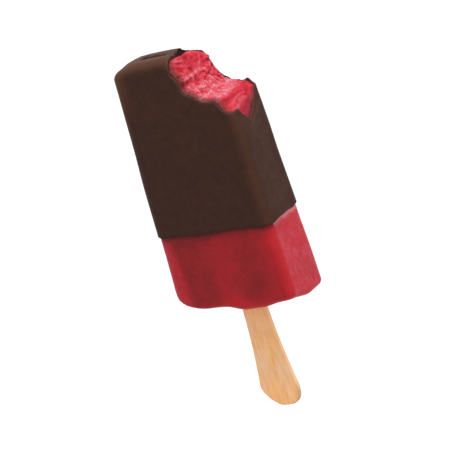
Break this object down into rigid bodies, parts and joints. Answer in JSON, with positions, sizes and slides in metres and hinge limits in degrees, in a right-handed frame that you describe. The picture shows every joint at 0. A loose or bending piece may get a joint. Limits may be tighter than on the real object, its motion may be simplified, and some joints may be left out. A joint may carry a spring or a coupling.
{
  "type": "chocolate-dipped ice pop with a bite taken out",
  "caption": "Fruit ice pop on a flat wooden stick, mostly dipped in dark chocolate, with a bite out of an upper corner; lies on its back, front face up.",
  "frame": {"origin": "centre of the bounding box at the level the pop lies on", "axes": "+Y from the stick towards the tip, +Z out of the broad front face that shows, +X towards the bitten side"},
  "size_m": [0.0512, 0.1404, 0.0251],
  "materials": {
    "fruit_ice": "frozen raspberry-red fruit ice, frosty where it was bitten",
    "dark_chocolate": "thin set dark chocolate, matt with a faint mottle",
    "birch_wood": "bare birch, sanded, unvarnished"
  },
  "bodies": {
    "root": {"fruit_ice": "fruit_ice", "chocolate_coat": "dark_chocolate", "wooden_stick": "birch_wood"}
  },
  "joints": []
}
